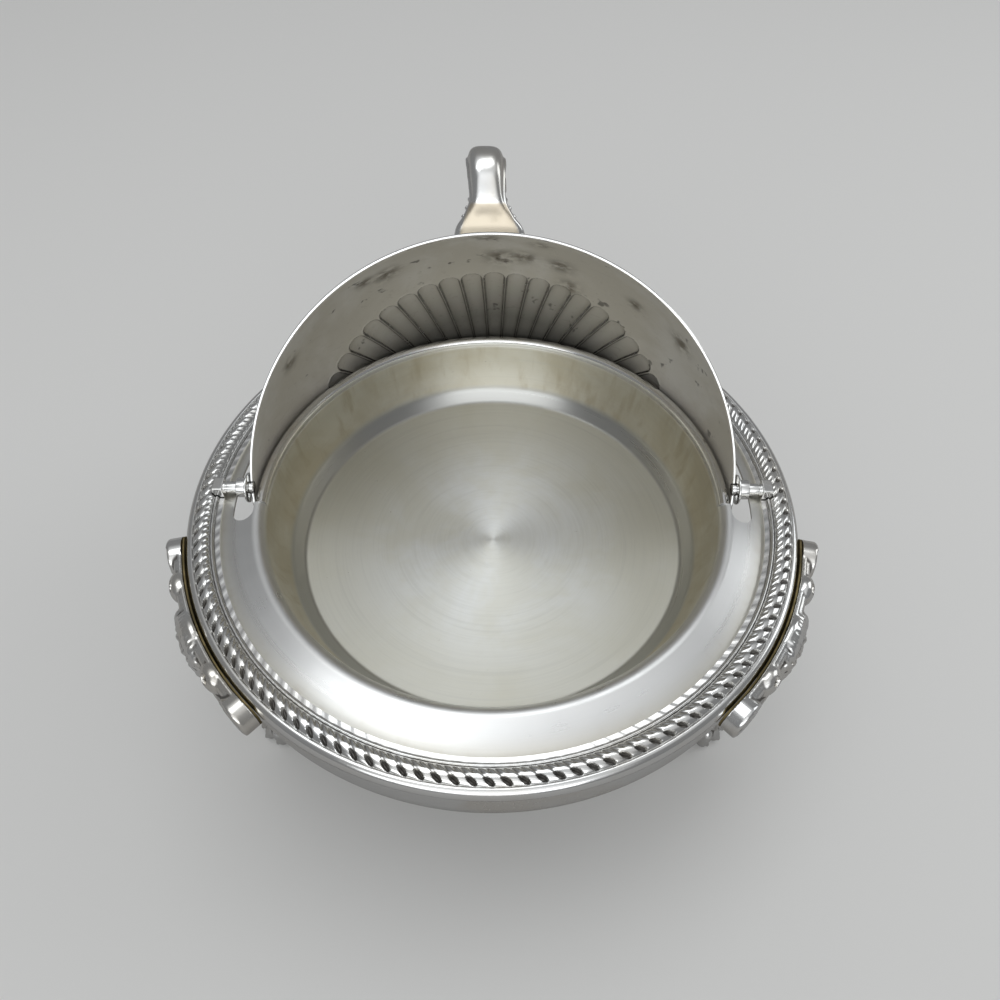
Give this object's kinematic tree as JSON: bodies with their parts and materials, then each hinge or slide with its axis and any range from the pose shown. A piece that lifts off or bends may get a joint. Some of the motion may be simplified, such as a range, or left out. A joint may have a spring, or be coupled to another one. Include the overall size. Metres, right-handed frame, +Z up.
{
  "type": "roll top butter dish",
  "caption": "Round footed dish with a well, a rope border and a fluted half-sphere cover that rolls back under the well on two pins.",
  "frame": {"origin": "centre of the flat of the well floor, on its upper face", "axes": "+Z up, -Y to the front, where the closed cover's handle stands, +X to the right along the pivot line"},
  "size_m": [0.1668, 0.1668, 0.136],
  "materials": {
    "tray_silver": "silver plate, polished flange, fine spun brush lines in the well",
    "wire_silver": "bright silver plate",
    "border_silver": "bright silver plate, dark in the hollows",
    "apron_silver": "polished silver plate",
    "cast_silver": "silver-plated casting, tarnish in the hollows",
    "turned_silver": "turned and plated",
    "cover_silver": "silver plate, satin inside with small dark stains, polished outside",
    "seat_brass": "dull bare brass"
  },
  "bodies": {
    "dish": {"tray": "tray_silver", "well_bead": "wire_silver", "rope_border": "border_silver", "apron": "apron_silver", "leg_seat_left": "seat_brass", "leg_seat_right": "seat_brass", "leg_seat_rear": "seat_brass", "leg_left": "cast_silver", "leg_right": "cast_silver", "leg_rear": "cast_silver", "pivot_post_left": "turned_silver", "pivot_post_right": "turned_silver", "pivot_pin_left": "turned_silver", "pivot_pin_right": "turned_silver"},
    "cover": {"cover_dome": "cover_silver", "cover_ear_left": "cover_silver", "cover_ear_right": "cover_silver", "cover_collar_left": "turned_silver", "cover_collar_right": "turned_silver", "handle": "cast_silver"}
  },
  "joints": [
    {"name": "cover_roll", "type": "hinge", "parent": "dish", "child": "cover", "pos_m": [0, 0, 0.0235], "axis": [1, 0, 0], "range_deg": [-40, 123.8]}
  ]
}
